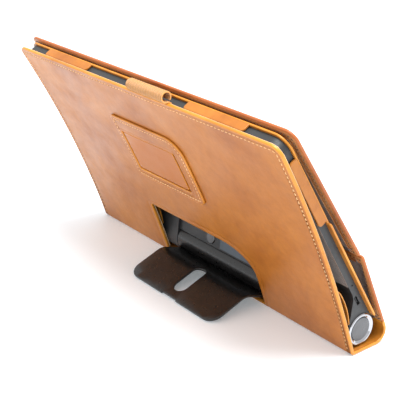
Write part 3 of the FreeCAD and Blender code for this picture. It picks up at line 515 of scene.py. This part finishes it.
PANEL_FOOT_W, PANEL_FOOT_U = 26.5, 6.05
panel_centre, panel_radius = circle_through(Vector((9.2, CASE_TOP)), Vector((14.2, 80)),
                                            Vector((PANEL_FOOT_W, PANEL_FOOT_U)))


def panel_point(height):
    """A point of the bowed back panel's outer face."""
    reach = math.sqrt(panel_radius ** 2 - (height - panel_centre.y) ** 2)
    return Vector((panel_centre.x - reach, height))


COVER_FOOT = Vector((-4.0, 5.0))
COVER_BEND = Vector((-10.2, 60.0))
FOLD = Vector((-8.7, 62.4))
COVER_TOP = Vector((-4.2, CASE_TOP))
TURN_RADIUS = 8.0
CORNER_SOFT = 1.6


def wrap_points():
    """The outside of the case from its top edge, down the back, under the barrel and up."""
    points = [panel_point(CASE_TOP + (PANEL_FOOT_U - CASE_TOP) * i / 60) for i in range(61)]
    radius = TURN_RADIUS
    climb = math.atan2(COVER_BEND.y - COVER_FOOT.y, COVER_BEND.x - COVER_FOOT.x) - LEAN
    foot_forward = COVER_FOOT.x * math.cos(LEAN) + COVER_FOOT.y * math.sin(LEAN)
    foot_up = SHIFT_Z - COVER_FOOT.x * math.sin(LEAN) + COVER_FOOT.y * math.cos(LEAN)
    turn_up = radius * (1 + math.cos(climb))
    centre = foot_forward + radius * math.sin(climb) - (foot_up - turn_up) / math.tan(climb)
    corner = points.pop()
    floor_next = from_floor(centre + 2, 0)
    before = corner + (points[-1] - corner).normalized() * CORNER_SOFT
    after = corner + (floor_next - corner).normalized() * CORNER_SOFT
    while (points[-1] - corner).length < CORNER_SOFT + 0.1:
        points.pop()
    for i in range(7):
        t = i / 6
        points.append(before * (1 - t) ** 2 + corner * 2 * t * (1 - t) + after * t ** 2)
    for i in range(1, 8):
        points.append(after.lerp(from_floor(centre, 0), i / 8))
    last = math.degrees(climb) + 90
    for i in range(13):
        angle = math.radians(270 + (last - 270) * i / 12)
        points.append(from_floor(centre + radius * math.cos(angle), radius * (1 + math.sin(angle))))
    end = points[-1]
    for i in range(1, 5):
        points.append(end.lerp(COVER_FOOT, i / 4))
    return points


wrap = Path(wrap_points())
FOOT_S = wrap.nearest(7.2)
CUT_LEFT, CUT_RIGHT, CUT_CORNER = 50.0, -56.0, 26.0
PANEL_SEAM = 3.6
cut_top = wrap.nearest(49.0)
cut_side = wrap.nearest(31.0)
cutout = [(CUT_LEFT, FOOT_S), (CUT_LEFT, cut_top + 1.5), (CUT_LEFT - 1.5, cut_top)]
for i in range(13):
    turn = math.radians(90 * i / 12)
    cutout.append((CUT_RIGHT + CUT_CORNER * (1 - math.sin(turn)),
                   cut_top + (cut_side - cut_top) * (1 - math.cos(turn))))
cutout.append((CUT_RIGHT, FOOT_S))
wrap_cuts = steps(0, FOOT_S - 4, 5) + steps(FOOT_S - 4, FOOT_S + 6, 0.8) \
    + steps(FOOT_S + 6, wrap.length, 1.8)
outline = rounded(-HALF_CASE, HALF_CASE, 0, wrap.length, (7, 7, 0.6, 0.6), 8)
back = sheet("back_leather", outline, along(wrap, BOARD), BOARD, holes=[cutout], round_off=0.85,
             seam=PANEL_SEAM, groove=0.22, cuts_x=steps(-HALF_CASE, HALF_CASE, 9), cuts_s=wrap_cuts)
dress(back, [case_leather, edge_paint_and_highlight, inner_leather], "tablet_in_case",
      ["back_panel", "stand_flap", "spine"])

seam_line = [(-HALF_CASE + PANEL_SEAM, FOOT_S - 2)]
seam_line += [tuple(p) for p in inset(turned(outline, True), PANEL_SEAM) if p.y < 8]
seam_line.append((HALF_CASE - PANEL_SEAM, FOOT_S - 2))
back_thread = stitches("back_stitching", [seam_line], along(wrap, BOARD), BOARD - 0.1)
dress(back_thread, [thread], "tablet_in_case")

LINING = 0.5
lining_end = wrap.nearest(8.1)
lining_outline = [(-HALF_CASE + 7, 1.0), (HALF_CASE - 7, 1.0), (HALF_CASE - 3, 2.2),
                  (HALF_CASE - 1, 7.0), (HALF_CASE - 1, lining_end), (CUT_LEFT, lining_end)]
lining_outline += [p for p in cutout if p[1] < FOOT_S - 1]
lining_outline += [(CUT_RIGHT, lining_end), (-HALF_CASE + 1, lining_end), (-HALF_CASE + 1, 7.0),
                   (-HALF_CASE + 3, 2.2)]
back_cloth = sheet("back_cloth", lining_outline, along(wrap, LINING, -BOARD), LINING,
                   round_off=0.2, cuts_x=steps(-HALF_CASE, HALF_CASE, 18),
                   cuts_s=steps(0, FOOT_S - 4, 5))
# The lining's rims take the cream painted highlight.
dress(back_cloth, [suede, lining_rim_highlight, suede], "tablet_in_case", ["back_lining"])

# ---------------------------------------------------------------- hand strap patch and tongue

PATCH = 1.5
PATCH_RIGHT, PATCH_LEFT, PATCH_SEAM = -29, 44, 2.9
TONGUE = 1.1
patch_top, patch_foot = wrap.nearest(132), wrap.nearest(79)
patch_outline = rounded(PATCH_RIGHT, PATCH_LEFT, patch_top, patch_foot, (13, 4, 4, 5), 8)
tongue_top, tongue_foot = wrap.nearest(118.8), wrap.nearest(88)
window = rounded(-18.5, 38.3, tongue_top - 0.1, tongue_foot + 1.5, (0.6, 0.6, 1.2, 1.2), 4)
patch_cuts = steps(patch_top, patch_foot, 4)
patch = sheet("strap_patch", patch_outline, along(wrap, PATCH, PATCH), PATCH, holes=[window],
              round_off=0.7, seam=PATCH_SEAM, groove=0.2,
              cuts_x=steps(PATCH_RIGHT, PATCH_LEFT, 6), cuts_s=patch_cuts)
dress(patch, [case_leather, edge_paint_and_highlight, case_leather], "tablet_in_case",
      ["hand_strap_patch"])
patch_seam = [tuple(p) for p in inset(turned(patch_outline, True), PATCH_SEAM)]
patch_thread = stitches("patch_stitching", [patch_seam + patch_seam[:1]],
                        along(wrap, PATCH, PATCH), PATCH - 0.08, pitch=2.7, length=1.9)
dress(patch_thread, [thread], "tablet_in_case")

tongue_outline = rounded(-16.6, 36.5, tongue_top, tongue_foot, (0.2, 0.2, 1.4, 1.4), 4)
tongue = sheet("strap_tongue", tongue_outline, along(wrap, TONGUE, 1.4), TONGUE, round_off=0.4,
               cuts_x=steps(-17, 37, 6), cuts_s=steps(tongue_top, tongue_foot, 3))
for mat in (case_leather, edge_paint_and_highlight, case_leather):
    tongue.data.materials.append(mat)
bend_from, bend_to = wrap.at(tongue_top)[0], wrap.at(tongue_top + 7)[0]
place(0, *bend_from)
place(0, *bend_to)
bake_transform(tongue)
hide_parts("hand_strap_tongue")

# ---------------------------------------------------------------- front cover

COVER = 2.0
COVER_SEAM = 3.0
BORDER = 6.0


def turned_over(surface):
    """The inner side of a surface: heights go into the sheet's back."""
    return lambda x, s, t: surface(x, s, -t)


def cover_part(name, path, radii, body, nodes, cloth_nodes):
    """One half of the front cover: leather, stitching on both faces, and its lining."""
    surface = along(path, COVER)
    shape = rounded(-HALF_CASE, HALF_CASE, 0, path.length, radii, 8)
    panel = sheet(name, shape, surface, COVER, round_off=0.85, seam=COVER_SEAM, groove=0.15,
                  cuts_x=steps(-HALF_CASE, HALF_CASE, 12), cuts_s=steps(0, path.length, 8))
    dress(panel, [cover_leather, cover_edge, border_leather], body, nodes)
    seam = [tuple(p) for p in inset(turned(shape, True), COVER_SEAM)]
    seam.append(seam[0])
    inner_thread = stitches(name + "_inner_stitching", [seam], turned_over(surface), 0.12,
                            pitch=2.6, length=1.7)
    dress(inner_thread, [dark_thread], body)
    outer_thread = stitches(name + "_stitching", [seam], surface, COVER - 0.08)
    dress(outer_thread, [thread], body)
    cloth_shape = [tuple(p) for p in inset(turned(shape, True), BORDER)]
    lining = sheet(name + "_cloth", cloth_shape, along(path, LINING, -COVER), LINING,
                   round_off=0.2, cuts_x=steps(-HALF_CASE, HALF_CASE, 24))
    dress(lining, [suede, border_leather, suede], body, cloth_nodes)


cover_part("cover_lower_leather", Path([COVER_FOOT, COVER_BEND]), (0.8, 0.8, 2, 2),
           "lower_cover", ["cover_lower"], ["cover_lower_lining"])
cover_part("cover_upper_leather", Path([FOLD, COVER_TOP]), (2, 2, 7, 7), "upper_cover",
           ["cover_upper"], ["cover_upper_lining"])


def beside(start, end, distance, share):
    """A point at a share of the way along a line, moved to its right by a distance."""
    way = (end - start).normalized()
    return start.lerp(end, share) + Vector((way.y, -way.x)) * distance


crease_path = Path([beside(COVER_FOOT, COVER_BEND, 0.5, 0.96),
                    beside(COVER_FOOT, COVER_BEND, 0.4, 1.0), beside(FOLD, COVER_TOP, 0.2, 0.0),
                    beside(FOLD, COVER_TOP, 0.4, 0.02)])
crease = sheet("crease_leather", rounded(-133, 133, 0, crease_path.length, (0.5,) * 4, 3),
               along(crease_path, 1.0), 1.0, round_off=0.3, cuts_x=steps(-133, 133, 9),
               cuts_s=steps(0, crease_path.length, 0.8))
for mat in (cover_leather, cover_edge, border_leather):
    crease.data.materials.append(mat)
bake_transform(crease)
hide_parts("cover_crease")

# ---------------------------------------------------------------- holder round the tablet

GRIP, WALL = 130.15, 1.5
OUTER = GRIP + WALL
TOP_GRIP = 162.15
BEZEL_BACK, BEZEL, BEZEL_FOOT, BEZEL_WIDTH, BEZEL_SEAM = 0.95, 1.4, 15, 9, 2.6
OPENING, FLANGE_END, FLANGE_DEPTH = 51, 103, 6.45
SIDE_LOW, SIDE_TOP = 100, 149
bezel_shape = rounded(-OUTER, OUTER, BEZEL_FOOT, TOP_GRIP + WALL, (3, 3, 9.5, 9.5), 8)
bezel_hole = rounded(-GRIP + BEZEL_WIDTH, GRIP - BEZEL_WIDTH, BEZEL_FOOT + 12,
                     TOP_GRIP - BEZEL_WIDTH, (2, 2, 2, 2), 4)
bezel = sheet("holder_bezel", bezel_shape, on_plane(BEZEL_BACK - BEZEL, BEZEL, -1), BEZEL,
              holes=[bezel_hole], round_off=0.6, seam=BEZEL_SEAM, groove=0.12,
              cuts_x=steps(-OUTER, OUTER, 12), cuts_s=steps(BEZEL_FOOT, 163, 9))
dress(bezel, [inner_leather, edge_paint_and_highlight, inner_leather], "tablet_in_case",
      ["holder_frame"])
bezel_seam = [tuple(p) for p in inset(turned(bezel_shape, True), BEZEL_SEAM)]
bezel_thread = stitches("bezel_stitching", [bezel_seam + bezel_seam[:1]],
                        on_plane(BEZEL_BACK - BEZEL, BEZEL, -1), BEZEL - 0.08)
dress(bezel_thread, [thread], "tablet_in_case")
EAR_END, EAR_TOP = 133.5, 98.0
for name, low, high, radii in (("left", OUTER - 1, EAR_END, (0.3, 0.5, 1.7, 0.3)),
                               ("right", -EAR_END, 1 - OUTER, (0.5, 0.3, 0.3, 1.7))):
    ear = sheet("bezel_ear_" + name, rounded(low, high, BEZEL_FOOT, EAR_TOP, radii, 5),
                on_plane(BEZEL_BACK - BEZEL, BEZEL, -1), BEZEL, round_off=0.5,
                cuts_s=steps(BEZEL_FOOT, EAR_TOP, 9))
    dress(ear, [inner_leather, edge_paint_and_highlight, inner_leather], "tablet_in_case")


def top_wall(x, s, t):
    """A surface for sheet(): along the tablet's top edge."""
    return place(x, s, TOP_GRIP + t)


def end_wall(sign):
    """A surface for sheet(): along one end of the tablet."""
    return lambda x, s, t: place(sign * (GRIP + t), x, s)


for name, low, high in (("left", OPENING, FLANGE_END), ("right", -FLANGE_END, -OPENING)):
    flange = sheet("top_flange_" + name,
                   rounded(low, high, 0.0, FLANGE_DEPTH, (0.4, 0.4, 2.2, 2.2), 5),
                   top_wall, WALL, round_off=0.55, cuts_x=steps(low, high, 5),
                   cuts_s=steps(0, 6.4, 1))
    dress(flange, [inner_leather, inner_leather, inner_leather], "tablet_in_case")
for name, sign in (("left", 1), ("right", -1)):
    side_flange = sheet("side_flange_" + name, rounded(0.0, FLANGE_DEPTH, SIDE_LOW, SIDE_TOP,
                                                       (0.4, 2.2, 2.2, 0.4), 5),
                        end_wall(sign), WALL, round_off=0.55, cuts_x=steps(0, 6.4, 1),
                        cuts_s=steps(SIDE_LOW, SIDE_TOP, 5))
    dress(side_flange, [inner_leather, inner_leather, inner_leather], "tablet_in_case")

holder_outline = [(-GRIP, 47), (-60, 47), (-60, 69.6), (48, 69.6), (48, 47), (GRIP, 47),
                  (GRIP, SIDE_TOP), (122, SIDE_TOP), (122, TOP_GRIP), (OPENING, TOP_GRIP),
                  (OPENING, 150), (-OPENING, 150), (-OPENING, TOP_GRIP), (-122, TOP_GRIP),
                  (-122, SIDE_TOP), (-GRIP, SIDE_TOP)]
holder_back = sheet("holder_back_leather", holder_outline, on_plane(6.55, 0.45), 0.45,
                    round_off=0.15, cuts_x=steps(-GRIP, GRIP, 16), cuts_s=steps(47, 162, 12))
dress(holder_back, [suede, suede, suede], "tablet_in_case",
      ["holder_back"])

FLAP_TOP, FLAP_MIDDLE, FLAP_FOOT = (14.2, 52), (14.5, 38), (18.4, 24.5)
flap_centre, flap_radius = circle_through(Vector(FLAP_TOP), Vector(FLAP_MIDDLE), Vector(FLAP_FOOT))
flap_start = math.degrees(math.atan2(FLAP_TOP[1] - flap_centre.y, FLAP_TOP[0] - flap_centre.x))
flap_end = math.degrees(math.atan2(FLAP_FOOT[1] - flap_centre.y, FLAP_FOOT[0] - flap_centre.x))
flap_path = Path(arc_points(flap_centre, flap_radius, flap_start % 360, flap_end % 360, 20))
for name, low, high in (("left", 53, OUTER), ("right", -OUTER, -59)):
    flap = sheet("barrel_flap_" + name, rounded(low, high, 0, flap_path.length, (2, 2, 2, 2), 5),
                 along(flap_path, 0.75), 0.75, round_off=0.3, cuts_x=steps(low, high, 8),
                 cuts_s=steps(0, flap_path.length, 1.5))
    dress(flap, [inner_leather, edge_paint_and_highlight, inner_leather], "tablet_in_case",
          ["barrel_flaps"])

# ---------------------------------------------------------------- pen loop

LOOP_W, LOOP_U, LOOP_R = 7.0, 169.0, 3.7
LOOP_RIGHT, LOOP_LEFT = -41.0, -5.0
LOOP_WALL, RIB_HEIGHT, RIB_PITCH = 0.7, 0.13, 1.2
loop_points = arc_points((LOOP_W, LOOP_U), LOOP_R, 250, -80, 30)
loop_points += [Vector((6.62, 163.4)), Vector((6.55, 160)), Vector((6.55, 151))]
loop_path = Path(loop_points)


def ribs(x, s, t):
    """A surface for sheet(): the loop's line, with ridges running round it."""
    ridge = RIB_HEIGHT * math.cos(2 * math.pi * x / RIB_PITCH)
    inner = along(loop_path, LOOP_WALL)
    return inner(x, s, t - RIB_HEIGHT + (ridge if t > LOOP_WALL / 2 else -ridge))


loop = sheet("pen_loop_elastic", rounded(LOOP_RIGHT, LOOP_LEFT, 0, loop_path.length, (0.3,) * 4, 3),
             ribs, LOOP_WALL, round_off=0.2, cuts_x=steps(LOOP_RIGHT, LOOP_LEFT, 0.3),
             cuts_s=steps(0, 24, 0.7))
dress(loop, [elastic, elastic, elastic], "tablet_in_case", ["pen_loop"])

# ---------------------------------------------------------------- kickstand

STAND = 1.8
SLOPE = 38.0
BACK_W = 6.0
BEND_RADIUS = 10
STAND_LENGTH = 54
STAND_WRAP = -62
slope_out = Vector((math.cos(math.radians(SLOPE)), math.sin(math.radians(SLOPE))))
barrel_centre = Vector((BARREL_W, BARREL_U))
bend_w = BACK_W + BEND_RADIUS
bend_rise = (BARREL_R + BEND_RADIUS - (bend_w - BARREL_W) * slope_out.x) / slope_out.y
bend_centre = Vector((bend_w, BARREL_U + bend_rise))
stand_points = [Vector((BACK_W, BARREL_U + STAND_LENGTH))]
stand_points += arc_points(bend_centre, BEND_RADIUS, 180, 180 + SLOPE, 12)
stand_points += arc_points(barrel_centre, BARREL_R, SLOPE, STAND_WRAP, 24)
rise = SHIFT_Z + BARREL_U * math.cos(LEAN) - BARREL_W * math.sin(LEAN)
swing = math.atan2(STAND_LENGTH, BACK_W - BARREL_W) - LEAN \
    + math.asin(rise / math.hypot(BACK_W - BARREL_W, STAND_LENGTH))
turn_down = Matrix.Rotation(-swing, 2)
stand_path = Path([barrel_centre + turn_down @ (p - barrel_centre) for p in stand_points])
STAND_LOW, STAND_HIGH, STAND_MIDDLE = -54.0, 38.0, -8.0
stand_shape = rounded(STAND_LOW, STAND_HIGH, 0, stand_path.length, (9, 9, 0.5, 0.5), 8)
split = next(i for i, p in enumerate(stand_shape) if p[0] > 0)
notch = [(STAND_MIDDLE - 8, 0), (STAND_MIDDLE - 7.2, 0.9), (STAND_MIDDLE + 7.2, 0.9),
         (STAND_MIDDLE + 8, 0)]
stand_shape = stand_shape[:split] + notch + stand_shape[split:]
hanging = rounded(STAND_MIDDLE - 5.5, STAND_MIDDLE + 5.5, 7, 32, (5.45,) * 4, 8)
stand = sheet("stand_plate", stand_shape, along(stand_path, STAND), STAND, holes=[hanging],
              round_off=0.45, cuts_x=steps(STAND_LOW, STAND_HIGH, 10),
              cuts_s=steps(24, stand_path.length, 0.9))
metal = finishes["stand_metal"]
dress(stand, [metal, metal, metal], "kickstand", ["kickstand"])

SLEEVE_R, SLEEVE, SLEEVE_END = 10.4, 1.7, 156.0
sleeve_path = Path([barrel_centre + turn_down @ (p - barrel_centre)
                    for p in arc_points(barrel_centre, SLEEVE_R, SLEEVE_END, SLOPE - 15, 50)])
sleeve = sheet("stand_sleeve", rounded(STAND_LOW, STAND_HIGH, 0, sleeve_path.length,
                                       (0.5, 0.5, 0.5, 0.5), 3),
               along(sleeve_path, SLEEVE), SLEEVE, round_off=0.3,
               cuts_x=steps(STAND_LOW, STAND_HIGH, 10),
               cuts_s=steps(0, sleeve_path.length, 0.8))
dress(sleeve, [metal, metal, metal], "kickstand")

# ---------------------------------------------------------------- camera, light and floor

def soft_light(name, place_at, target, power, size):
    """A round area light that points at a target."""
    data = bpy.data.lights.new(name, "AREA")
    data.energy = power
    data.shape = "DISK"
    data.size = size
    lamp = bpy.data.objects.new(name, data)
    lamp.location = place_at
    lamp.rotation_euler = (Vector(target) - Vector(place_at)).to_track_quat("-Z", "Y").to_euler()
    bpy.context.scene.collection.objects.link(lamp)


camera_data = bpy.data.cameras.new("camera")
camera_data.sensor_width = 36
camera_data.lens = 86.8
camera = bpy.data.objects.new("camera", camera_data)
bpy.context.scene.collection.objects.link(camera)
look = Vector((0.72492, -0.56781, -0.38997))
right = Vector((-0.61763, -0.78647, -0.0030))
up = right.cross(look)
turn_matrix = Matrix((right, up, -look)).transposed().to_4x4()
camera.matrix_world = Matrix.Translation((-0.46518, 0.35397, 0.30934)) @ turn_matrix
bpy.context.scene.camera = camera

floor_mesh = bmesh.new()
bmesh.ops.create_grid(floor_mesh, x_segments=8, y_segments=8, size=4.0)
floor = finish_mesh("floor", floor_mesh)
floor.location = (0, 0, -0.0002)
floor_white = plain("floor_white", (0.80, 0.83, 0.86), (0.82, 0.85, 0.88), (0.5, 0.6),
                    grain=200)
floor_shader = floor_white.node_tree.nodes["Principled BSDF"]
floor_shader.inputs["Emission Color"].default_value = (0.9, 0.97, 1, 1)
floor_shader.inputs["Emission Strength"].default_value = 0.22
floor.data.materials.append(floor_white)

world = bpy.data.worlds.new("studio")
world.use_nodes = True
world.node_tree.nodes["Background"].inputs["Color"].default_value = (1, 1, 1, 1)
world.node_tree.nodes["Background"].inputs["Strength"].default_value = 1.1
bpy.context.scene.world = world
soft_light("key", (-0.3, -0.1, 1.3), (0, 0, 0.05), 26, 0.8)
bpy.context.scene.view_settings.view_transform = "Standard"
